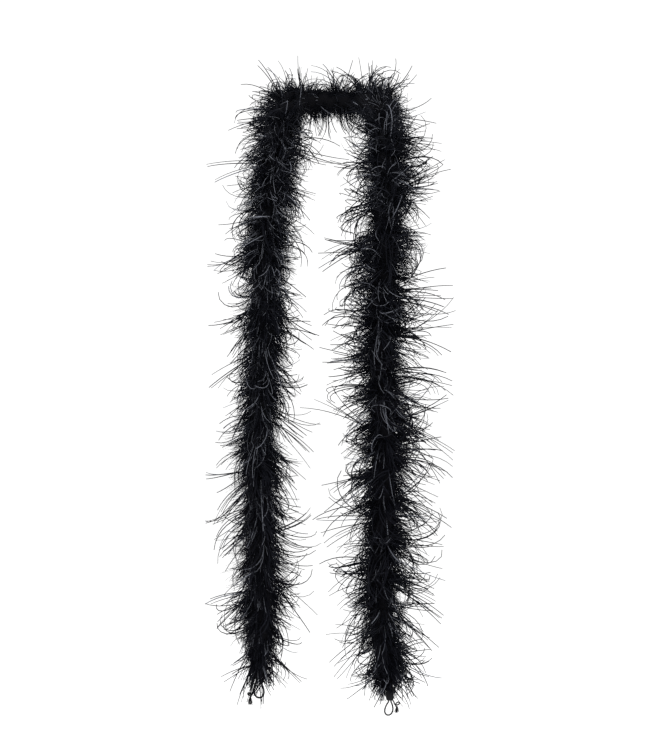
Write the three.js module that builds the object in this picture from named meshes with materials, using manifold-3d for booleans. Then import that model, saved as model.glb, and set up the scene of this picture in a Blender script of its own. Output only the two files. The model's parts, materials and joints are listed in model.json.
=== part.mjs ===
// A feather boa as it is worn: one strand laid round a neck, both tails hanging in front.
// Millimetres, +Z up. The wearer faces -Y, and the origin is where the strand rests on the nape.
//
// A stranded cord runs through the middle of the boa from end to end. A strip of split feather
// quills is wound round the cord, and the barbs that grow from the strip stand out all round it
// as plumage. Each end is whipped with thread and finished with a knotted hanging loop.
// The strand bends anywhere, so it is divided into short lengths that are hinged to each other.
import * as THREE from 'three';
import { mergeVertices } from 'three/addons/utils/BufferGeometryUtils.js';
import Module from 'manifold-3d';

const wasm = await Module();
wasm.setup();

// Driving dimensions
const cordRadius = 2;
const cordStep = { curved: 15, straight: 36 };
const stripInside = 3.2; // the quill strip's winding clears the cord
const stripOutside = 4.4;
const stripWidth = 3;
const stripPitch = 52; // one turn of the strip along the cord
const plumeBore = 6.4; // the hollow in the plumage that holds the cord and its strip
const plumeWall = 7.6; // the plumage is never thinner than this round the hollow
const plumeValley = 9; // radius between two lobes of barbs
const plumeLobes = 6;
const plumeTwist = 600; // length of strand in which the lobes go once round
const neckRadius = 49;
const neckClearance = 0.5;
const collarGap = 98; // from one collar to the other, where they stand beside the neck
const meshGap = 0.3; // between pieces that touch
const hingeRoom = 0.32; // room kept at a hinge for each millimetre of radius
const tailStep = 104; // from hinge to hinge down a tail
const tailHinges = 5;
const tailDepth = -160; // how far in front of the nape the tails hang
const bustHeight = -270; // where the strand leaves the chest and hangs free
const whippingRadius = 5.5;

// The middle of the strand, from the side of the neck over the shoulder to the bust.
// The nape is its highest point, and each side starts from there.
const nape = [0, 16, 6];
const napeSide = { left: [-37, 5, 5], right: [37, 5, 5] };
const shoulderRoute = {
  left: [
    [-62, -28, 0],
    [-71, -62, -18],
    [-77, -90, -56],
    [-84, -114, -105],
    [-91, -138, -165],
    [-95, -155, -225],
  ],
  right: [
    [60, -28, 0],
    [65, -62, -14],
    [68, -90, -50],
    [69, -114, -100],
    [66, -138, -165],
    [65, -155, -225],
  ],
};
// Where each tail hangs, from side to side, at its hinges and at its end
const tailAcross = {
  left: [-95.5, -96.5, -103, -100, -99.5, -103],
  right: [62, 59.5, 64, 62, 59.5, 71],
};
const cordEnd = { left: -768, right: -788 };

// How far the barbs reach from the cord, along the strand
const reach = {
  nape: 46,
  left: { neck: 50, collar: 66, shoulder: 74, chest: 66, tail: [60, 56, 56, 56, 50] },
  right: { neck: 50, collar: 66, shoulder: 72, chest: 70, tail: [68, 68, 66, 66, 56] },
};

// One curve through the whole strand, from the left end to the right end
function tailRoute(side) {
  const hinges = Array.from({ length: tailHinges }, (_, i) => bustHeight - i * tailStep);
  return [...hinges, cordEnd[side]].map((z, i) => [tailAcross[side][i], tailDepth, z]);
}

const halfRoute = (side) => [napeSide[side], ...shoulderRoute[side], ...tailRoute(side)];
const leftHalf = halfRoute('left');
const route = [...leftHalf.toReversed(), nape, ...halfRoute('right')];
const strand = new THREE.CatmullRomCurve3(route.map((p) => new THREE.Vector3(...p)));
const strandLength = strand.getLength();
const spanDivisions = 40;
strand.arcLengthDivisions = (route.length - 1) * spanDivisions;
const arcLengths = strand.getLengths();
const frameCount = 720;
const frames = strand.computeFrenetFrames(frameCount, false);

// Distance along the strand from its left end to a point of one half of the route,
// where point 0 is the side of the nape
function distanceTo(side, point) {
  const index = side === 'left' ? leftHalf.length - 1 - point : leftHalf.length + 1 + point;
  return arcLengths[index * spanDivisions];
}

// A section swept along part of the strand. The section turns as it goes, and grow() gives
// each of its points a new distance from the middle of the strand.
function sweep(section, from, to, { steps, turns = 0, grow = (along, radius) => radius }) {
  const bar = new THREE.ExtrudeGeometry(section, { depth: 1, steps, bevelEnabled: false });
  const points = bar.attributes.position;
  const place = new THREE.Vector3();
  for (let i = 0; i < points.count; i += 1) {
    const along = THREE.MathUtils.lerp(from, to, points.getZ(i));
    const radius = grow(along, Math.hypot(points.getX(i), points.getY(i)));
    const angle = Math.atan2(points.getY(i), points.getX(i)) + turns * 2 * Math.PI * points.getZ(i);
    const u = THREE.MathUtils.clamp(along / strandLength, 0, 1);
    const frame = Math.round(u * frameCount);
    strand.getPointAt(u, place);
    place.addScaledVector(frames.normals[frame], radius * Math.cos(angle));
    place.addScaledVector(frames.binormals[frame], radius * Math.sin(angle));
    points.setXYZ(i, place.x, place.y, place.z);
  }
  return bar;
}

const polar = (radius, angle) => new THREE.Vector2(radius * Math.cos(angle), radius * Math.sin(angle));

function roundSection(radius, sides) {
  const corner = (_, i) => polar(radius, (i * 2 * Math.PI) / sides);
  return new THREE.Shape(Array.from({ length: sides }, corner));
}

// Materials
const barbBlack = { color: 0x0b0c0f, roughness: 0.85, metalness: 0 };
const quillBlack = { color: 0x121214, roughness: 0.6, metalness: 0 };
const cordBlack = { color: 0x0e0e10, roughness: 0.9, metalness: 0 };
const threadBlack = { color: 0x08080a, roughness: 0.7, metalness: 0 };

const boa = new THREE.Group();

function add(name, geometry, finish, place = [0, 0, 0]) {
  const piece = new THREE.Mesh(geometry, new THREE.MeshStandardMaterial(finish));
  piece.name = name;
  piece.position.set(...place);
  boa.add(piece);
  return piece;
}

// The stranded core cord, one length from hinge to hinge
function addCord(name, from, to, chord) {
  const room = cordRadius * hingeRoom + meshGap;
  const steps = Math.ceil((to - from) / chord);
  add(name, sweep(roundSection(cordRadius, 8), from + room, to - room, { steps }), cordBlack);
}

// The strip of split quills that winds round the cord and carries the barbs
function addStrip(name, from, to) {
  const half = stripWidth / 2;
  const section = new THREE.Shape([
    new THREE.Vector2(stripInside, -half),
    new THREE.Vector2(stripOutside, -half),
    new THREE.Vector2(stripOutside, half),
    new THREE.Vector2(stripInside, half),
  ]);
  const room = stripOutside * hingeRoom + meshGap;
  const turns = (to - from) / stripPitch;
  const winding = { steps: Math.round(turns * 8), turns };
  add(name, sweep(section, from + room, to - room, winding), quillBlack);
}

// The plumage of one length: lobes of barbs that turn round the strip. It is drawn in
// towards each end, so that two neighbours can bend at the hinge between them.
function plume(from, to, radius) {
  const corner = (_, i) => {
    const size = i % 2 ? plumeValley : radius;
    return polar(size, (i * Math.PI) / plumeLobes);
  };
  const section = new THREE.Shape(Array.from({ length: 2 * plumeLobes }, corner));
  section.holes.push(new THREE.Path(roundSection(plumeBore, 6).getPoints().toReversed()));
  const room = 5;
  const grow = (along, size) => {
    const toEnd = Math.min(along - from, to - along);
    return Math.min(size, Math.max(plumeWall, toEnd / hingeRoom));
  };
  const turns = (to - from) / plumeTwist;
  const steps = Math.max(3, Math.round((to - from) / 15));
  return sweep(section, from + room, to - room, { steps, turns, grow });
}

// The barbs towards the neck are pressed against it
function toSolid(geometry) {
  const bare = geometry.clone();
  bare.deleteAttribute('normal');
  bare.deleteAttribute('uv');
  const merged = mergeVertices(bare, 1e-3);
  const vertProperties = Float32Array.from(merged.attributes.position.array);
  const triVerts = Uint32Array.from(merged.index.array);
  return new wasm.Manifold(new wasm.Mesh({ numProp: 3, vertProperties, triVerts }));
}

const neckSize = neckRadius + neckClearance;
const neck = new THREE.CylinderGeometry(neckSize, neckSize, 300, 24);
neck.rotateX(Math.PI / 2);
neck.translate(0, -neckRadius, 0);
const besideNeck = new THREE.BoxGeometry(collarGap, 400, 400);

function pressedFlat(geometry, against) {
  const pieces = toSolid(geometry).subtract(toSolid(against)).decompose();
  const largest = pieces.reduce((a, b) => (a.volume() > b.volume() ? a : b));
  const mesh = largest.getMesh();
  const pressed = new THREE.BufferGeometry();
  pressed.setAttribute('position', new THREE.BufferAttribute(mesh.vertProperties, 3));
  pressed.setIndex(new THREE.BufferAttribute(mesh.triVerts, 1));
  return pressed;
}

// The length that lies on the nape and holds the boa up
const napeEnds = [distanceTo('left', 1), distanceTo('right', 1)];
addCord('core_cord_nape', ...napeEnds, cordStep.curved);
addStrip('quill_strip_nape', ...napeEnds);
const napeThird = (napeEnds[1] - napeEnds[0]) / 3;
['plume_nape_left', 'plume_nape', 'plume_nape_right'].forEach((name, i) => {
  const from = napeEnds[0] + i * napeThird;
  const size = name === 'plume_nape' ? reach.nape : reach.left.neck;
  add(name, pressedFlat(plume(from, from + napeThird, size), neck), barbBlack);
});

// Runs a maker over one length of a side, in the direction in which the strand is measured
function alongSide(side, firstPoint, lastPoint, make) {
  const ends = [distanceTo(side, firstPoint), distanceTo(side, lastPoint)];
  ends.sort((a, b) => a - b);
  make(...ends);
}

const bustPoint = shoulderRoute.left.length + 1;
const shoulderPlumes = [
  ['collar', 1, 3],
  ['shoulder', 3, 5],
  ['chest', 5, bustPoint],
];
for (const side of ['left', 'right']) {
  alongSide(side, 1, bustPoint, (from, to) => {
    addCord(`core_cord_shoulder_${side}`, from, to, cordStep.curved);
    addStrip(`quill_strip_shoulder_${side}`, from, to);
  });
  for (const [name, first, last] of shoulderPlumes) {
    alongSide(side, first, last, (from, to) => {
      const against = name === 'collar' ? besideNeck : neck;
      const full = plume(from, to, reach[side][name]);
      add(`plume_${name}_${side}`, pressedFlat(full, against), barbBlack);
    });
  }
  for (let i = 0; i < tailHinges; i += 1) {
    alongSide(side, bustPoint + i, bustPoint + i + 1, (from, to) => {
      const name = `tail_${side}_${i + 1}`;
      addCord(`core_cord_${name}`, from, to, cordStep.straight);
      addStrip(`quill_strip_${name}`, from, to);
      add(`plume_${name}`, plume(from, to, reach[side].tail[i]), barbBlack);
    });
  }
}

// The thread whipping that binds the cord's end, below the last of the plumage
function whipping(length) {
  const edge = 0.8;
  const profile = [
    [0, 0],
    [whippingRadius - edge, 0],
    [whippingRadius, -edge],
    [whippingRadius, edge - length],
    [whippingRadius - edge, -length],
    [0, -length],
  ];
  return lathe(profile, 12);
}

function lathe(profile, sides) {
  const turned = new THREE.LatheGeometry(profile.toReversed().map((p) => new THREE.Vector2(...p)), sides);
  turned.rotateX(Math.PI / 2);
  return turned;
}

// The hanging loop is a length of cord that leaves the whipping and comes back to it. It
// starts a little below the whipping, so that it can swing fore and aft. Its route is across
// and down from the middle of the whipping's lower face.
const loopRoute = {
  left: [
    [1.9, -1.3],
    [3.9, -4.8],
    [5.8, -9],
    [7.1, -13.5],
    [7.3, -17.8],
    [6.3, -21.2],
    [4.2, -23.5],
    [1.4, -24.2],
    [-1.5, -23.5],
    [-3.9, -21.2],
    [-5.3, -17.8],
    [-5.6, -13.5],
    [-4.9, -9],
    [-3.4, -4.8],
    [-1.9, -1.3],
  ],
  right: [
    [1.6, -1.3],
    [2.7, -4],
    [3.7, -7.4],
    [4.1, -10.9],
    [3.6, -14.2],
    [2.3, -16.8],
    [0.2, -18.6],
    [-2.1, -19.2],
    [-4.4, -18.6],
    [-6, -16.8],
    [-6.7, -14.2],
    [-6.4, -10.9],
    [-5.1, -7.4],
    [-3.4, -4],
    [-1.6, -1.3],
  ],
};
const loopCordRadius = { left: 1.4, right: 1.1 };
const whippingLength = { left: 12, right: 20 };

function loop(side) {
  const points = loopRoute[side].map(([across, down]) => new THREE.Vector3(across, 0, down));
  const path = new THREE.CatmullRomCurve3(points);
  const section = roundSection(loopCordRadius[side], 8);
  return new THREE.ExtrudeGeometry(section, { extrudePath: path, steps: 22, bevelEnabled: false });
}

// The knot that ties the loop is a barrel beside it, and the cord's frayed end leaves the knot
const knotRadius = 3.4;
const knotPlace = { left: [-10.8, -20], right: [9.4, -4.5] };
const frayLength = { left: 11, right: 9 };

function knot() {
  const profile = [
    [0, 3],
    [knotRadius * 0.7, 2.4],
    [knotRadius, 0],
    [knotRadius * 0.7, -2.4],
    [0, -3],
  ];
  return lathe(profile, 10);
}

function frayedEnd(length) {
  const profile = [
    [0, 0],
    [cordRadius * 0.8, 0],
    [cordRadius, -length * 0.5],
    [cordRadius * 1.5, -length],
    [0, -length],
  ];
  return lathe(profile, 8);
}

for (const side of ['left', 'right']) {
  const top = cordEnd[side] - meshGap;
  const loopTop = top - whippingLength[side] - meshGap;
  const x = tailAcross[side].at(-1);
  add(`end_whipping_${side}`, whipping(whippingLength[side]), threadBlack, [x, tailDepth, top]);
  add(`hanging_loop_${side}`, loop(side), cordBlack, [x, tailDepth, loopTop]);
  const [across, down] = knotPlace[side];
  const knotMiddle = [x + across, tailDepth, loopTop + down];
  add(`loop_knot_${side}`, knot(), cordBlack, knotMiddle);
  const frayTop = [knotMiddle[0], tailDepth, knotMiddle[2] - 3 - meshGap];
  add(`frayed_end_${side}`, frayedEnd(frayLength[side]), cordBlack, frayTop);
}

export default boa;
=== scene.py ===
import json
import math

import bmesh
import bpy
import numpy as np
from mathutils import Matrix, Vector


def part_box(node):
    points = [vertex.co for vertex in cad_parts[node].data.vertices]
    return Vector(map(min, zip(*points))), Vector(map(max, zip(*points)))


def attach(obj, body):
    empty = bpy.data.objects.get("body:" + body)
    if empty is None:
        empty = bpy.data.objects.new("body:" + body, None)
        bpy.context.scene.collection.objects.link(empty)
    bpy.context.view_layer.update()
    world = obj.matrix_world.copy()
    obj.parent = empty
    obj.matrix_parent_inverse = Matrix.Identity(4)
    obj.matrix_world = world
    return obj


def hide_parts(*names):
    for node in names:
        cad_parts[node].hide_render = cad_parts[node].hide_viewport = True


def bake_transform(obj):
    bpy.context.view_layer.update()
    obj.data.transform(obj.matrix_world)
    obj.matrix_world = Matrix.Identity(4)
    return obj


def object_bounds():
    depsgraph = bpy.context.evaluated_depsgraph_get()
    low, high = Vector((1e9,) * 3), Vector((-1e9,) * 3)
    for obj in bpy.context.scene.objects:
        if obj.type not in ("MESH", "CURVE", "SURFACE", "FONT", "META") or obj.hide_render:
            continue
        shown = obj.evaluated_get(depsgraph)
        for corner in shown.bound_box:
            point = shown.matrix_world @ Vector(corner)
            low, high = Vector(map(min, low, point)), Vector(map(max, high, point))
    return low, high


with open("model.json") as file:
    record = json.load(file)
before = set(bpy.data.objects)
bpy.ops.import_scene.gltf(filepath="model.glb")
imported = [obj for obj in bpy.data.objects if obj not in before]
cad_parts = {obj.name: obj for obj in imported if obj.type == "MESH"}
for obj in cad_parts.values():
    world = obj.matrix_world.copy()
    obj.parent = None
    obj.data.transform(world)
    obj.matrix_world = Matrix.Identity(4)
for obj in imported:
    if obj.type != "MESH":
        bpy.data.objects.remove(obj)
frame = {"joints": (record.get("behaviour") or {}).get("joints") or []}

cad_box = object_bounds()


# ---------------------------------------------------------------------------------------
# Camera. It stands level, straight in front of the two hanging tails, with a long lens,
# and takes in the boa from above the neck to below the hanging loops.
LENS = 100.0
SENSOR = 36.0
CAMERA_ACROSS = -0.0147
CAMERA_HEIGHT = -0.378
VIEW_TALL = 0.992  # how much height the view takes in at the tails

joint_place = {j["name"]: Vector(j["pos_m"]) for j in frame["joints"]}
tail_depth = joint_place["tail_left_2_sway"].y
camera_data = bpy.data.cameras.new("camera")
camera_data.lens = LENS
camera_data.sensor_width = SENSOR
camera = bpy.data.objects.new("camera", camera_data)
camera.location = (CAMERA_ACROSS, tail_depth - VIEW_TALL * LENS / SENSOR, CAMERA_HEIGHT)
camera.rotation_euler = (math.pi / 2, 0, 0)
bpy.context.scene.collection.objects.link(camera)
bpy.context.scene.camera = camera


# ---------------------------------------------------------------------------------------
# Hanging loops. A bight of laid cord, three strands twisted together, leaves the thread
# whipping at each end of the boa and goes back into it. The left one is a wide drop, and
# the right one a smaller one that hangs aslant.

# Each route's points are given across and down from the middle of the whipping's lower
# face, in millimetres.
LOOP_ROUTE = {
    "left": [(1.9, -1.3), (3.9, -4.8), (5.8, -9), (7.1, -13.5), (7.3, -17.8), (6.3, -21.2),
             (4.2, -23.5), (1.4, -24.2), (-1.5, -23.5), (-3.9, -21.2), (-5.3, -17.8),
             (-5.6, -13.5), (-4.9, -9), (-3.4, -4.8), (-1.9, -1.3)],
    "right": [(1.6, -1.3), (2.7, -4), (3.7, -7.4), (4.1, -10.9), (3.6, -14.2), (2.3, -16.8),
              (0.2, -18.6), (-2.1, -19.2), (-4.4, -18.6), (-6, -16.8), (-6.7, -14.2),
              (-6.4, -10.9), (-5.1, -7.4), (-3.4, -4), (-1.6, -1.3)],
}
LOOP_CORD = {"left": 0.0028, "right": 0.0022}
INTO_WHIPPING = 2.0  # how far the cord's ends reach up into the thread, in millimetres
LOOP_STEP = 0.0008  # between the points that the cord's surface follows
LAY = 0.011  # length of one turn of the cord's strands
STRANDS = 3
MM = 0.001
SIDES = ("left", "right")
TURN = 2 * math.pi


def smooth_line(route, step):
    """Points a step apart on the centripetal Catmull-Rom curve through the route."""
    given = np.array(route, float)
    ends = np.vstack([2 * given[0] - given[1], given, 2 * given[-1] - given[-2]])
    fine = []
    for p0, p1, p2, p3 in zip(ends, ends[1:], ends[2:], ends[3:]):
        d0, d1, d2 = (max(np.linalg.norm(b - a), 1e-9) ** 0.5
                      for a, b in ((p0, p1), (p1, p2), (p2, p3)))
        t1 = ((p1 - p0) / d0 - (p2 - p0) / (d0 + d1) + (p2 - p1) / d1) * d1
        t2 = ((p2 - p1) / d1 - (p3 - p1) / (d1 + d2) + (p3 - p2) / d2) * d1
        count = max(4, int(np.linalg.norm(p2 - p1) / step * 4))
        t = np.linspace(0, 1, count, endpoint=False)[:, None]
        bend = (-3 * p1 + 3 * p2 - 2 * t1 - t2) * t ** 2 + (2 * p1 - 2 * p2 + t1 + t2) * t ** 3
        fine.append(p1 + t1 * t + bend)
    fine = np.vstack([*fine, given[-1:]])
    along = np.concatenate([[0], np.cumsum(np.linalg.norm(np.diff(fine, axis=0), axis=1))])
    even = np.linspace(0, along[-1], max(2, round(along[-1] / step)) + 1)
    return even, np.stack([np.interp(even, along, fine[:, k]) for k in range(3)], axis=1)


def carried_frames(points):
    """The line's direction at each point, and two directions square to it that never spin."""
    ahead = np.gradient(points, axis=0)
    ahead /= np.linalg.norm(ahead, axis=1)[:, None]
    first = np.cross(ahead[0], (0, 1, 0))
    normals = [first / np.linalg.norm(first)]
    for direction in ahead[1:]:
        carried = normals[-1] - direction * normals[-1].dot(direction)
        normals.append(carried / np.linalg.norm(carried))
    normals = np.array(normals)
    return ahead, normals, np.cross(ahead, normals)


def new_piece(name, mesh, material=None):
    mesh.name = name
    for face in mesh.polygons:
        face.use_smooth = True
    if material:
        mesh.materials.append(material)
    piece = bpy.data.objects.new(name, mesh)
    bpy.context.scene.collection.objects.link(piece)
    return piece


def wrapped(name, rings, sides, place, material):
    """A grid wrapped into a tube and capped: place(angle, share) says where each of its
    points goes, with share running from 0 to 1 along it."""
    shape = bmesh.new()
    bmesh.ops.create_grid(shape, x_segments=sides, y_segments=rings, size=0.5)
    for vertex in shape.verts:
        vertex.co = place((vertex.co.x + 0.5) * TURN, vertex.co.y + 0.5)
    bmesh.ops.remove_doubles(shape, verts=shape.verts, dist=1e-6)
    bmesh.ops.holes_fill(shape, edges=shape.edges, sides=0)
    bmesh.ops.recalc_face_normals(shape, faces=shape.faces)
    mesh = bpy.data.meshes.new(name)
    shape.to_mesh(mesh)
    shape.free()
    return new_piece(name, mesh, material)


def laid_radius(angle):
    """The outline of three round strands laid together, as a share of the cord's radius."""
    strand_middle, strand_radius = 0.48, 0.52
    off = (angle % (TURN / STRANDS)) - TURN / STRANDS / 2
    across = strand_middle * math.sin(off)
    return strand_middle * math.cos(off) + math.sqrt(strand_radius ** 2 - across ** 2)


def laid_cord(name, points, diameter, material, sides=18, rings_a_turn=8):
    """A twisted cord along a line of points."""
    steps = np.linalg.norm(np.diff(points, axis=0), axis=1)
    along = np.concatenate([[0], np.cumsum(steps)])
    ahead, normal, side = carried_frames(points)
    rings = max(4, round(along[-1] / LAY * rings_a_turn))

    def place(angle, share):
        here = share * along[-1]
        at = [np.interp(here, along, points[:, k]) for k in range(3)]
        n, b = (np.array([np.interp(here, along, v[:, k]) for k in range(3)])
                for v in (normal, side))
        radius = diameter / 2 * laid_radius(angle + TURN * here / LAY)
        return Vector(at + radius * (n * math.cos(angle) + b * math.sin(angle)))

    return wrapped(name, rings, sides, place, material)


class Value:
    """One number that varies over a surface. Arithmetic on it adds Math nodes."""

    def __init__(self, finish, link):
        self.finish = finish
        self.link = link

    def _math(self, operation, first, second):
        return self.finish.node("ShaderNodeMath", {"operation": operation}, {0: first, 1: second})

    def __add__(self, other):
        return self._math("ADD", self, other)

    def __radd__(self, other):
        return self._math("ADD", other, self)

    def __mul__(self, other):
        return self._math("MULTIPLY", self, other)

    def __rmul__(self, other):
        return self._math("MULTIPLY", other, self)

    def __pow__(self, other):
        return self._math("POWER", self, other)


class Finish:
    """A material. Fixed values go straight on the shader, and node() adds any other node."""

    def __init__(self, name, **fixed):
        self.material = bpy.data.materials.new(name)
        self.material.use_nodes = True
        self.tree = self.material.node_tree
        self.shader = self.tree.nodes["Principled BSDF"]
        for socket, value in fixed.items():
            self.shader.inputs[socket.replace("_", " ")].default_value = value
        self.place = self.node("ShaderNodeTexCoord", output="Object")

    def node(self, kind, settings=None, inputs=None, output=0):
        made = self.tree.nodes.new(kind)
        for name, value in (settings or {}).items():
            setattr(made, name, value)
        for socket, value in (inputs or {}).items():
            if isinstance(value, Value):
                self.tree.links.new(value.link, made.inputs[socket])
            else:
                made.inputs[socket].default_value = value
        return Value(self, made.outputs[output])

    def feed(self, socket, value):
        self.tree.links.new(value.link, self.shader.inputs[socket])

    def noise(self, scale, detail=2.0):
        return self.node("ShaderNodeTexNoise", None, {
            "Vector": self.place, "Scale": scale, "Detail": detail}, "Fac")

    def blend_colors(self, amount, first, second):
        mix_factor, color_a, color_b, color_result = 0, 6, 7, 2
        return self.node("ShaderNodeMix", {"data_type": "RGBA"}, {
            mix_factor: amount, color_a: first, color_b: second}, color_result)

    def bump(self, height, strength, distance):
        made = self.node("ShaderNodeBump", None, {
            "Height": height, "Strength": strength, "Distance": distance})
        self.feed("Normal", made)


def color(red, green, blue):
    return (red, green, blue, 1.0)


def cord_finish(name, dark, light):
    """Black cotton: fine fibres along the strands, dull, a little greyer where they stand up."""
    finish = Finish(name, Specular_IOR_Level=0.12, Sheen_Weight=0.05, Sheen_Roughness=0.6)
    fibres = finish.noise(2600.0, detail=3.0)
    worn = finish.noise(140.0)
    finish.feed("Base Color", finish.blend_colors(fibres * worn, dark, light))
    finish.feed("Roughness", 0.7 + fibres * 0.25)
    finish.bump(fibres, 0.5, 0.0003)
    return finish.material


loop_cotton = cord_finish("loop_cotton", color(0.0012, 0.0012, 0.0016), color(0.013, 0.013, 0.016))

loop_top = {side: joint_place[f"loop_{side}_swing"] for side in SIDES}


def below_whipping(side, route):
    """Places points given across and down from the middle of the whipping's lower face."""
    top = loop_top[side]
    return [(top.x + across * MM, top.y, top.z + down * MM) for across, down in route]


def swings(piece):
    """Bakes the piece's place into its mesh."""
    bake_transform(piece)


loop_path = {}
loops = {}
for side in SIDES:
    across = LOOP_ROUTE[side][0][0]
    route = [(across, INTO_WHIPPING), *LOOP_ROUTE[side], (-across, INTO_WHIPPING)]
    lengths, loop_path[side] = smooth_line(below_whipping(side, route), LOOP_STEP)
    loops[side] = laid_cord(f"hanging_loop_{side}_cord", loop_path[side], LOOP_CORD[side],
                            loop_cotton)
    swings(loops[side])
    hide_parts(f"hanging_loop_{side}")


# ---------------------------------------------------------------------------------------
# Knots and frayed ends. Each loop is made fast with an overhand knot in the cord's free
# end, drawn up tight beside the loop. Below the knot the cord is teased out into fibres.
KNOT_ACROSS = {"left": 0.0034, "right": 0.0040}  # half of each knot's width
KNOT_TURNS = (7 / 6, 1 / 2)  # the part of a trefoil's round that the cord follows
TREFOIL_HALF = 3.0  # half of the trefoil's width, in its own measure
KNOT_DEPTH = 1.1  # how far it rises and dips at its crossings, in the same measure
KNOT_STEP = 0.0004
KNOT_START = {"left": [(-5.6, -11.5), (-6.6, -14.5)], "right": [(3.4, 1.5), (4.6, -0.6)]}
DRAWN_THIN = 0.9  # the cord is pulled a little thinner in the knot
FRAY_FIBRES = 80
FRAY_RADIUS = 0.00022
FRAY_BUNDLE = 0.0009  # the radius of the bundle where it leaves the knot
FRAY_SPREAD = 0.22
TAPER = 1.4  # above 1, a fibre keeps its thickness for longer before it thins


def knot_line(middle, half, mirror, count=60):
    """The centre of the cord as it goes through the knot, from one side down to its end."""
    first, last = KNOT_TURNS
    t = np.linspace(TURN * first, TURN * last, count)
    turns = np.stack([mirror * (np.sin(t) + 2 * np.sin(2 * t)), -KNOT_DEPTH * np.sin(3 * t),
                      np.cos(t) - 2 * np.cos(2 * t)], axis=1)
    return np.array(middle) + turns * half / TREFOIL_HALF


def unit(vectors):
    return vectors / np.maximum(np.linalg.norm(vectors, axis=-1, keepdims=True), 1e-9)


def grow(roots, directions, lengths, curl_axes, curls, droops, points, keep_out=None):
    """Fibres that start at the roots and bend as they grow: each turns about its own axis
    by its curl, more towards the tip, and sags. keep_out() turns them away from what they
    meet. Returns (fibre, point, xyz)."""
    lines = np.empty((len(roots), points, 3))
    lines[:, 0] = roots
    heading = unit(directions)
    stride = (lengths / (points - 1))[:, None]
    for step in range(1, points):
        lines[:, step] = lines[:, step - 1] + heading * stride
        share = step / (points - 1)
        turn = (curls * 2 * share / (points - 1))[:, None]
        heading = heading * np.cos(turn) + np.cross(curl_axes, heading) * np.sin(turn)
        heading[:, 2] -= droops / (points - 1)
        if keep_out:
            keep_out(lines[:, step], heading)
        heading = unit(heading)
    return lines


def fibre_section():
    """Three-sided, so that thousands of fibres stay light."""
    outline = bpy.data.curves.new("fibre_section", "CURVE")
    ring = outline.splines.new("POLY")
    ring.points.add(2)
    for i, point in enumerate(ring.points):
        point.co = (math.cos(i * TURN / 3), math.sin(i * TURN / 3), 0, 1)
    ring.use_cyclic_u = True
    section = bpy.data.objects.new("fibre_section", outline)
    bpy.context.scene.collection.objects.link(section)
    return section


section = fibre_section()


def fibres(name, bundles, materials):
    """One mesh of many tapered fibres. Each bundle is (lines, root radii, tip share, and
    which of the materials each fibre has)."""
    curve = bpy.data.curves.new(name, "CURVE")
    curve.dimensions = "3D"
    curve.bevel_mode = "OBJECT"
    curve.bevel_object = section
    curve.use_fill_caps = True
    for material in materials:
        curve.materials.append(material)
    for lines, radii, tip, tones in bundles:
        taper = 1 + (tip - 1) * np.linspace(0, 1, lines.shape[1]) ** TAPER
        padded = np.concatenate([lines, np.ones(lines.shape[:2] + (1,))], axis=2)
        for line, radius, tone in zip(padded.astype(np.float32), radii, tones):
            spline = curve.splines.new("POLY")
            spline.points.add(len(line) - 1)
            spline.points.foreach_set("co", line.ravel())
            spline.points.foreach_set("radius", (taper * radius).astype(np.float32))
            spline.material_index = int(tone)
    drawn = bpy.data.objects.new(name, curve)
    bpy.context.scene.collection.objects.link(drawn)
    bpy.context.view_layer.update()
    mesh = bpy.data.meshes.new_from_object(drawn.evaluated_get(bpy.context.evaluated_depsgraph_get()))
    bpy.data.objects.remove(drawn)
    bpy.data.curves.remove(curve)
    return new_piece(name, mesh)


fray_random = np.random.default_rng(11)
for side, mirror in (("left", 1), ("right", -1)):
    knot_lo, knot_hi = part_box(f"loop_knot_{side}")
    middle = (knot_lo + knot_hi) / 2
    fray_lo, fray_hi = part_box(f"frayed_end_{side}")
    free_end = (middle.x, middle.y, fray_hi.z - 0.001)
    tied = [*below_whipping(side, KNOT_START[side]),
            *knot_line(middle, KNOT_ACROSS[side], mirror), free_end]
    knot = laid_cord(f"overhand_knot_{side}", smooth_line(tied, KNOT_STEP)[1],
                     LOOP_CORD[side] * DRAWN_THIN, loop_cotton, sides=12)
    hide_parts(f"loop_knot_{side}")
    count = FRAY_FIBRES
    start = np.array([middle.x, middle.y, fray_hi.z + 0.0005])
    around = fray_random.uniform(0, TURN, count)
    spread = np.abs(fray_random.normal(0, FRAY_SPREAD, count))
    outward = np.stack([np.cos(around), np.sin(around), np.zeros(count)], axis=1)
    lines = grow(start + outward * FRAY_BUNDLE * fray_random.uniform(0.2, 1, count)[:, None],
                 outward * spread[:, None] + (0, 0, -1),
                 (fray_hi.z - fray_lo.z) * fray_random.uniform(0.7, 1.1, count),
                 unit(fray_random.normal(0, 1, (count, 3))), fray_random.normal(0, 0.5, count),
                 np.full(count, 0.1), 5)
    tones = np.zeros(count)
    fray = fibres(f"frayed_fibres_{side}", [(lines, np.full(count, FRAY_RADIUS), 0.5, tones)],
                  [loop_cotton])
    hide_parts(f"frayed_end_{side}")
    for piece in (knot, fray):
        swings(piece)


# ---------------------------------------------------------------------------------------
# End whippings. Black thread is wound in close turns round each end of the strand, where
# the cord is folded back to make the loop, and it is pulled in at both edges.
THREAD = 0.00055
EDGE_SHARE = 0.16  # how much of its height each drawn-in edge takes up
EDGE_RADIUS = 0.62  # as a share of the whipping's full radius
BODY_RADIUS = 0.92
FLATTENED = 0.82  # a little flatter from front to back
thread_finish = Finish("whipping_thread", Specular_IOR_Level=0.15)
thread_grain = thread_finish.noise(1800.0)
thread_finish.feed("Base Color", thread_finish.blend_colors(
    thread_grain, color(0.0012, 0.0012, 0.0018), color(0.009, 0.009, 0.012)))
thread_finish.feed("Roughness", 0.5 + thread_grain * 0.3)
thread_finish.bump(thread_grain, 0.3, 0.0002)

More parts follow.
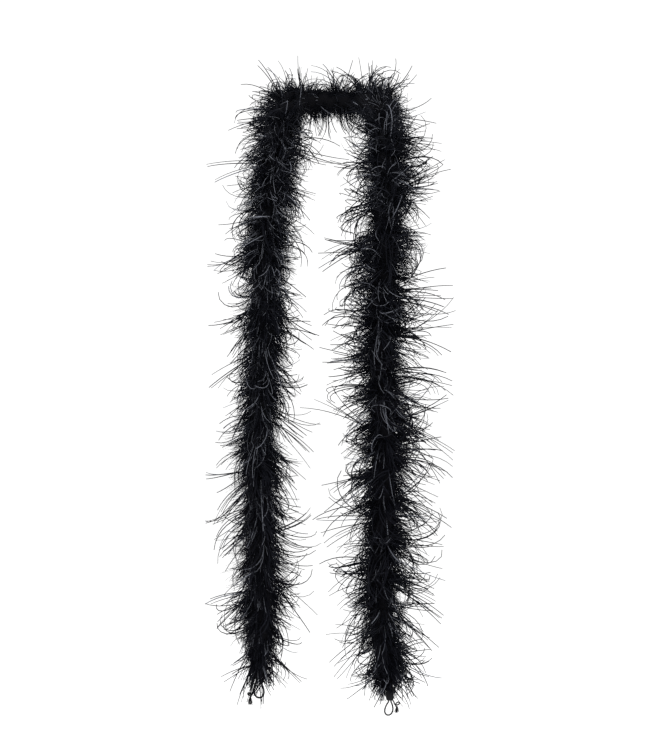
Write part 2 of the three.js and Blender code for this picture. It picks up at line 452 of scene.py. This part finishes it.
for side in SIDES:
    low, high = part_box(f"end_whipping_{side}")
    middle = (low + high) / 2
    tall = high.z - low.z
    turns = tall / THREAD

    def whipped(angle, share):
        from_edge = min(1, min(share, 1 - share) / EDGE_SHARE)
        drawn_in = EDGE_RADIUS + (BODY_RADIUS - EDGE_RADIUS) * from_edge ** 0.5
        ridge = abs(math.sin(math.pi * (share * turns - angle / TURN)))
        radius = (high.x - low.x) / 2 * drawn_in + THREAD / 2 * ridge
        return Vector((middle.x + radius * math.cos(angle),
                       middle.y + radius * FLATTENED * math.sin(angle), high.z - tall * share))

    whipping = wrapped(f"thread_whipping_{side}", round(turns * 4), 24, whipped,
                       thread_finish.material)
    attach(whipping, f"tail_{side}_5")
    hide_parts(f"end_whipping_{side}")


# ---------------------------------------------------------------------------------------
# Core cord. One laid cord runs through the whole boa, from the left end over the nape to
# the right end. Here it is cut midway between the hinges.
NAPE = (0, 0.016, 0.006)
NAPE_SIDE = {"left": (-0.037, 0.005, 0.005), "right": (0.037, 0.005, 0.005)}
SHOULDER_ROUTE = {
    "left": [(-0.062, -0.028, 0), (-0.071, -0.062, -0.018), (-0.077, -0.090, -0.056),
             (-0.084, -0.114, -0.105), (-0.091, -0.138, -0.165), (-0.095, -0.155, -0.225)],
    "right": [(0.060, -0.028, 0), (0.065, -0.062, -0.014), (0.068, -0.090, -0.050),
              (0.069, -0.114, -0.100), (0.066, -0.138, -0.165), (0.065, -0.155, -0.225)],
}
CORE_CORD = 0.004
STRAND_STEP = 0.002
TAIL_LENGTHS = 5
BEND_REACH = 0.036  # how far along the strand each way from a hinge


def tail_joint(side, number):
    word = "swing" if number % 2 else "sway"
    return f"tail_{side}_{number}_{word}"


def tail_route(side):
    hinges = [tuple(joint_place[tail_joint(side, i + 1)]) for i in range(TAIL_LENGTHS)]
    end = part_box(f"core_cord_tail_{side}_{TAIL_LENGTHS}")[0].z
    return [*hinges, (loop_top[side].x, tail_depth, end)]


half_route = {side: [NAPE_SIDE[side], *SHOULDER_ROUTE[side], *tail_route(side)] for side in SIDES}
strand_route = [*half_route["left"][::-1], NAPE, *half_route["right"]]
strand_at, strand = smooth_line(strand_route, STRAND_STEP)
strand_length = strand_at[-1]
ahead, normal, binormal = carried_frames(strand)


def distance_to(point):
    """How far along the strand a point lies, from the left end."""
    return strand_at[np.argmin(np.linalg.norm(strand - np.array(point), axis=1))]


nape_at = distance_to(NAPE)
tail_bodies = {side: [f"tail_{side}_{i + 1}" for i in range(TAIL_LENGTHS)] for side in SIDES}
bodies = [*tail_bodies["left"][::-1], "shoulder_left", "nape", "shoulder_right",
          *tail_bodies["right"]]
tail_joints = {side: [tail_joint(side, i + 1) for i in range(TAIL_LENGTHS)] for side in SIDES}
hinges = [*tail_joints["left"][::-1], "neck_left_spread", "neck_right_spread",
          *tail_joints["right"]]
hinge_at = [distance_to(joint_place[h]) for h in hinges]
body_ends = [0.0, *hinge_at, strand_length]
body_middles = [(a + b) / 2 for a, b in zip(body_ends, body_ends[1:])]
cuts = [0.0, *body_middles, strand_length]


def hang_on(piece, number):
    """A piece of the first or last section rides on the body at that end of the boa; a piece
    of any other section stays where it is, with its place baked into its mesh."""
    if number in (0, len(cuts) - 2):
        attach(piece, bodies[0] if number == 0 else bodies[-1])
        return
    at = hinge_at[number - 1]
    start, end = (strand[int(round((at + d) / STRAND_STEP))] for d in (-BEND_REACH, BEND_REACH))
    bodies[number - 1]
    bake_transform(piece)


# A section is named for the hinge at its middle, and the first and last for their end.
hinge_names = [h.replace("neck", "collar").rsplit("_", 1)[0] for h in hinges]
section_names = ["left_end", *hinge_names, "right_end"]


def stretch(low, high):
    """The points of the strand's centre line between two places along it."""
    inside = (strand_at >= low - 1e-9) & (strand_at <= high + 1e-9)
    return strand[inside]


core_cotton = cord_finish("core_cotton", color(0.005, 0.005, 0.006), color(0.04, 0.04, 0.045))
for number, name in enumerate(section_names):
    piece = laid_cord(f"core_cord_{name}", stretch(cuts[number], cuts[number + 1]), CORE_CORD,
                      core_cotton, sides=12, rings_a_turn=6)
    if number < len(bodies):
        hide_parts(f"core_cord_{bodies[number]}")
    hang_on(piece, number)


# ---------------------------------------------------------------------------------------
# Quill strip. The feathers' quills are split to a thin, flexible strip, which is wound
# round the core cord. All the barbs grow from it.
STRIP_PITCH = 0.052
STRIP_RADIUS = 0.0036
STRIP_WIDTH = 0.0034
STRIP_THICK = 0.0008

quill_finish = Finish("split_quill", Specular_IOR_Level=0.35)
quill_grain = quill_finish.noise(900.0, detail=4.0)
quill_finish.feed("Base Color", quill_finish.blend_colors(
    quill_grain, color(0.006, 0.006, 0.007), color(0.045, 0.042, 0.04)))
quill_finish.feed("Roughness", 0.45 + quill_grain * 0.3)
quill_finish.bump(quill_grain, 0.4, 0.0002)


def on_strand(values, here):
    return np.array([np.interp(here, strand_at, values[:, k]) for k in range(3)])


def around_strand(here, angle):
    """The direction out from the strand at an angle round it, and the one across that."""
    n, b = on_strand(normal, here), on_strand(binormal, here)
    out = n * math.cos(angle) + b * math.sin(angle)
    return out, b * math.cos(angle) - n * math.sin(angle)


lead = math.atan2(STRIP_PITCH, TURN * STRIP_RADIUS)
for number, name in enumerate(section_names):
    low, high = cuts[number], cuts[number + 1]

    def strip_surface(angle, share):
        here = low + (high - low) * share
        out, across = around_strand(here, TURN * here / STRIP_PITCH)
        wide = on_strand(ahead, here) * math.cos(lead) - across * math.sin(lead)
        middle = on_strand(strand, here) + out * STRIP_RADIUS
        return Vector(middle + out * STRIP_THICK / 2 * math.cos(angle)
                      + wide * STRIP_WIDTH / 2 * math.sin(angle))

    piece = wrapped(f"quill_strip_{name}", round((high - low) / STRIP_PITCH * 14), 6,
                    strip_surface, quill_finish.material)
    if number < len(bodies):
        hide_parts(f"quill_strip_{bodies[number]}")
    hang_on(piece, number)


# ---------------------------------------------------------------------------------------
# Matted down. Next to the strip the down is packed so close that it makes a dark, soft
# body with an uneven surface, flattened on the neck and thinning out at both ends of the
# boa. The free barbs grow out through it.
MATTED_RADIUS = 0.015
END_SHARE = 0.4  # how thick it still is at the very end, as a share
END_TAPER = 0.075  # the length in which it would grow from nothing to its full thickness
LUMP_SIZE = 0.08
MATTED_RING = 0.005  # between its rings
NECK_RADIUS = 0.049
NECK_MIDDLE = np.array((0, -NECK_RADIUS))
COLLAR_LOW = -0.075

matted = Finish("matted_down", Specular_IOR_Level=0.04, Roughness=1.0)
matted_grain = matted.noise(700.0, detail=4.0)
matted.feed("Base Color", matted.blend_colors(
    matted_grain, color(0.0012, 0.0012, 0.0016), color(0.006, 0.006, 0.0075)))
matted.bump(matted_grain, 0.8, 0.0008)

for number, name in enumerate(section_names):
    low, high = cuts[number], cuts[number + 1]

    def matted_surface(angle, share):
        here = low + (high - low) * share
        out, _ = around_strand(here, angle)
        lumps = math.sin(angle * 3 + here * 310) + math.sin(angle * 2 - here * 190)
        from_end = min(here, strand_length - here)
        radius = MATTED_RADIUS * min(1, END_SHARE + from_end / END_TAPER)
        place = on_strand(strand, here) + out * radius * (1 + LUMP_SIZE * lumps)
        from_neck = place[:2] - NECK_MIDDLE
        away = np.linalg.norm(from_neck)
        if away < NECK_RADIUS and place[2] > COLLAR_LOW:
            place[:2] = NECK_MIDDLE + from_neck * NECK_RADIUS / away
        return Vector(place)

    piece = wrapped(f"matted_down_{name}", max(2, round((high - low) / MATTED_RING)), 16,
                    matted_surface, matted.material)
    hang_on(piece, number)


# ---------------------------------------------------------------------------------------
# Plumage. Marabou down, short and soft, makes the dense middle of the boa, and long
# ostrich barbs stand out of it as wisps. All grow from the quill strip in small tufts,
# whose barbs share a direction and a curl, and the strip's winding makes them bulge on
# alternate sides. On the neck they are pressed flat.
PRESSED_LAYER = 0.007  # how thick the barbs lie on the neck
ROOT_RADIUS = 0.004

# Each kind: barbs in a metre of strand, barbs in a tuft, their lengths, the points that
# draw one, how much their lean varies in degrees, their curl in radians, their radius at
# the root and share of it at the tip, how far they stray from the strip's side of the
# strand in radians, how far they lean past the rest, and what share of them are paler:
# a painted highlight, standing in for barbs that catch the light.
KINDS = {
    "down": dict(a_metre=19000, a_tuft=8, lengths=(0.025, 0.039), points=5, spread=26,
                 curl=0.8, radius=0.00034, tip=0.35, stray=3.0, lean=0, painted_highlight_share=0.06),
    "middle": dict(a_metre=2400, a_tuft=6, lengths=(0.038, 0.058), points=7, spread=20,
                   curl=1.0, radius=0.00070, tip=0.45, stray=1.9, lean=0, painted_highlight_share=0.08),
    "long": dict(a_metre=2200, a_tuft=4, lengths=(0.058, 0.086), points=10, spread=24,
                 curl=1.4, radius=0.00082, tip=0.55, stray=2.2, lean=0, painted_highlight_share=0.06),
    "lying": dict(a_metre=6000, a_tuft=2, lengths=(0.034, 0.06), points=8, spread=18,
                  curl=0.9, radius=0.00056, tip=0.5, stray=3.0, lean=34, painted_highlight_share=0.6),
}

# Each pair runs from the nape, 0, to the end of that side, 1: how far the barbs lean
# towards the end, in degrees, how much they curl, how long they are for their kind, and
# what share of them there is.
SWEEP = {"left": ((0, 0.12, 0.3, 0.45, 0.9, 1), (0, 0, 16, 44, 50, 54)),
         "right": ((0, 0.12, 0.2, 0.35, 0.6, 0.85, 1), (0, -18, -12, 2, 8, 22, 46))}
CURL = {"left": ((0, 0.1, 0.3, 0.5, 1), (1.2, 1.7, 1.5, 1.0, 0.9)),
        "right": ((0, 0.4, 1), (1.3, 1.4, 1.2))}
DENSE_SIZE = {"left": ((0, 0.05, 0.12, 0.2, 0.6, 0.89, 0.95, 1),
                       (0.8, 0.7, 0.9, 1.13, 1.18, 1.26, 0.92, 0.38)),
              "right": ((0, 0.05, 0.12, 0.3, 0.8, 0.94, 1),
                        (0.8, 0.7, 0.8, 0.99, 1.0, 0.94, 0.55))}
LOOSE_SIZE = {"left": ((0, 0.05, 0.12, 0.2, 0.35, 0.93, 1),
                       (0.8, 0.7, 0.8, 1.0, 0.96, 1.0, 0.68)),
              "right": ((0, 0.05, 0.12, 0.25, 0.35, 0.93, 1),
                        (0.8, 0.7, 0.8, 1.02, 1.14, 1.12, 0.55))}
LONG_SHARE = {"left": ((0, 0.3, 1), (0.65, 0.75, 0.92)),
              "right": ((0, 0.1, 0.3, 1), (0.7, 0.7, 1, 1))}
LYING_SHARE = {"left": ((0, 0.12, 0.22, 0.4, 0.9, 0.95), (0.15, 0.15, 0.7, 1, 0.8, 0)),
               "right": ((0, 0.1, 0.22, 0.3, 0.9, 0.95), (0.16, 0.55, 0.55, 0.2, 0.12, 0))}
MOST_PAST_CAD = 0.013  # how far a barb may stand out of the frame's own box
BULGE = 0.12  # how much longer the barbs are on the side that the strip is on
TUFT_SPREAD = 0.0012  # how far along the strand the roots of one tuft are apart
TUFT_FAN = 0.16  # and how far round it they fan out, in radians
BARB_LEAN = 8  # how much the barbs of one tuft differ in lean, in degrees
DROOP = 0.35

random = np.random.default_rng(7)


def barb_finish(name, dark, light, shine):
    """Dyed feather with a cold cast, greyer here and there, softly shining: near black, or paler as a
    painted highlight.
    """
    finish = Finish(name, Specular_IOR_Level=shine)
    patches = finish.noise(55.0, detail=3.0)
    flecks = finish.noise(900.0)
    finish.feed("Base Color", finish.blend_colors((patches * flecks * 2.2) ** 2.0, dark, light))
    finish.feed("Roughness", 0.5 + flecks * 0.3)
    finish.bump(flecks, 0.3, 0.0002)
    return finish.material


# The second finish of each kind is paler: a painted highlight that stands in for barbs catching the
# light.
BLACK, PAINTED_HIGHLIGHT = 0, 1
down_finishes = [
    barb_finish("marabou_black", color(0.0015, 0.0017, 0.0028), color(0.0075, 0.0082, 0.0125), 0.03),
    barb_finish("marabou_painted_highlight", color(0.015, 0.0163, 0.0228), color(0.045, 0.049, 0.067), 0.1),
]
barb_finishes = [
    barb_finish("ostrich_black", color(0.0017, 0.0019, 0.0031), color(0.011, 0.0121, 0.0178), 0.05),
    barb_finish("ostrich_painted_highlight", color(0.06, 0.0642, 0.077), color(0.17, 0.18, 0.212), 0.3),
]


def held_in(lines):
    """Shortens each barb that would stand too far out, by drawing it in towards its root."""
    roots = lines[:, :1]
    low, high = (np.array(corner) for corner in cad_box)
    room = np.where(lines > roots, high + MOST_PAST_CAD - roots, low - MOST_PAST_CAD - roots)
    reached = lines - roots
    share = np.where(np.abs(reached) > 1e-6, room / np.where(reached == 0, 1, reached), 1.0)
    return roots + reached * np.clip(share.min(axis=(1, 2)), 0, 1)[:, None, None]


def along_side(table, is_left, hang):
    """A value that each side of the boa has its own course of, at each tuft."""
    return np.where(is_left, np.interp(hang, *table["left"]), np.interp(hang, *table["right"]))


def tufts(kind, low, high):
    """The barbs of one kind between two places on the strand, as one bundle."""
    made = KINDS[kind]
    count = int((high - low) * made["a_metre"] / made["a_tuft"])
    tuft_at = random.uniform(low, high, count)
    strip_side = TURN * tuft_at / STRIP_PITCH
    is_left = tuft_at < nape_at
    hang = np.abs(tuft_at - nape_at) / np.where(is_left, nape_at, strand_length - nape_at)
    if kind in ("long", "lying"):
        share = along_side(LONG_SHARE if kind == "long" else LYING_SHARE, is_left, hang)
        kept = random.uniform(0, 1, count) < share
        tuft_at, strip_side, is_left, hang = (
            values[kept] for values in (tuft_at, strip_side, is_left, hang))
        count = len(tuft_at)
    stray = random.normal(0, made["stray"], count)
    sweep = along_side(SWEEP, is_left, hang) + made["lean"]
    sweep = np.radians(sweep + random.normal(0, made["spread"], count))
    curl = made["curl"] * along_side(CURL, is_left, hang) * random.normal(0, 1, count)
    bulge = 1 + BULGE * np.cos(stray)
    size = along_side(DENSE_SIZE if kind == "down" else LOOSE_SIZE, is_left, hang)
    size = size * bulge * random.uniform(*made["lengths"], count)

    tuft = np.repeat(np.arange(count), made["a_tuft"])
    total = len(tuft)
    here = np.clip(tuft_at[tuft] + random.normal(0, TUFT_SPREAD, total), low, high)
    index = np.clip((here / STRAND_STEP).round().astype(int), 0, len(strand) - 1)
    around = (strip_side + stray)[tuft] + random.normal(0, TUFT_FAN, total)
    out = normal[index] * np.cos(around)[:, None] + binormal[index] * np.sin(around)[:, None]
    away_from_nape = np.where(here < nape_at, -1.0, 1.0)[:, None] * ahead[index]
    lean = (sweep[tuft] + random.normal(0, math.radians(BARB_LEAN), total))[:, None]
    direction = out * np.cos(lean) + away_from_nape * np.sin(lean)
    tuft_axis = random.normal(0, 1, (count, 3))
    axis = unit(np.cross(direction, tuft_axis[tuft] + random.normal(0, 0.2, (total, 3))))
    skin = NECK_RADIUS + random.uniform(0.0005, PRESSED_LAYER, total)

    def lie_on_neck(points, heading):
        offset = points[:, :2] - NECK_MIDDLE
        away = np.linalg.norm(offset, axis=1)
        inside = (away < skin) & (points[:, 2] > COLLAR_LOW)
        outward = offset / np.maximum(away, 1e-6)[:, None]
        points[inside, :2] = (NECK_MIDDLE + outward * skin[:, None])[inside]
        inward = np.minimum((heading[:, :2] * outward).sum(1), 0)[:, None]
        heading[inside, :2] -= (inward * outward)[inside]

    lines = grow(strand[index] + out * ROOT_RADIUS, direction,
                 size[tuft] * random.uniform(0.75, 1.12, total), axis,
                 curl[tuft] + random.normal(0, 0.25, total), np.full(total, DROOP),
                 made["points"], lie_on_neck)
    radii = made["radius"] * random.uniform(0.75, 1.2, total)
    # A share of the barbs take the paler finish, a painted highlight.
    tones = np.where(random.uniform(0, 1, total) < made["painted_highlight_share"], PAINTED_HIGHLIGHT, BLACK)
    return held_in(lines), radii, made["tip"], tones


plume_nodes = {
    "nape": ["plume_nape_left", "plume_nape", "plume_nape_right"],
    **{f"shoulder_{s}": [f"plume_{p}_{s}" for p in ("collar", "shoulder", "chest")] for s in SIDES},
}
for number, name in enumerate(section_names):
    ends = cuts[number], cuts[number + 1]
    down = fibres(f"marabou_down_{name}", [tufts("down", *ends)], down_finishes)
    barbs = fibres(f"ostrich_barbs_{name}",
                   [tufts(kind, *ends) for kind in ("middle", "long", "lying")], barb_finishes)
    if number < len(bodies):
        body = bodies[number]
        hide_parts(*plume_nodes.get(body, [f"plume_{body}"]))
    for piece in (down, barbs):
        hang_on(piece, number)

bpy.data.objects.remove(section)


# ---------------------------------------------------------------------------------------
# Studio. A wide pale floor below the boa, an even bright surround and two soft lights.
FLOOR_DROP = 0.25
FLOOR_ACROSS = 60.0


def studio_floor():
    shape = bmesh.new()
    bmesh.ops.create_grid(shape, x_segments=1, y_segments=1, size=FLOOR_ACROSS / 2)
    bmesh.ops.translate(shape, verts=shape.verts, vec=(0, 0, cad_box[0].z - FLOOR_DROP))
    mesh = bpy.data.meshes.new("studio_floor")
    shape.to_mesh(mesh)
    shape.free()
    pale = Finish("pale_floor", Base_Color=color(0.95, 0.95, 0.95), Roughness=0.9)
    floor = new_piece("studio_floor", mesh, pale.material)


def soft_light(name, place, width, power):
    data = bpy.data.lights.new(name, "AREA")
    data.size = width
    data.energy = power
    light = bpy.data.objects.new(name, data)
    light.location = place
    aim = Vector((0, tail_depth, CAMERA_HEIGHT)) - Vector(place)
    light.rotation_euler = aim.to_track_quat("-Z", "Y").to_euler()
    bpy.context.scene.collection.objects.link(light)


studio_floor()
soft_light("key_light", (-1.6, -2.2, 1.4), 1.4, 60)
soft_light("fill_light", (1.8, -1.8, 0.6), 1.6, 30)
surround = bpy.data.worlds.new("surround")
surround.use_nodes = True
surround.node_tree.nodes["Background"].inputs["Color"].default_value = color(1, 1, 1)
surround.node_tree.nodes["Background"].inputs["Strength"].default_value = 1.1
bpy.context.scene.world = surround
bpy.context.scene.view_settings.view_transform = "Standard"
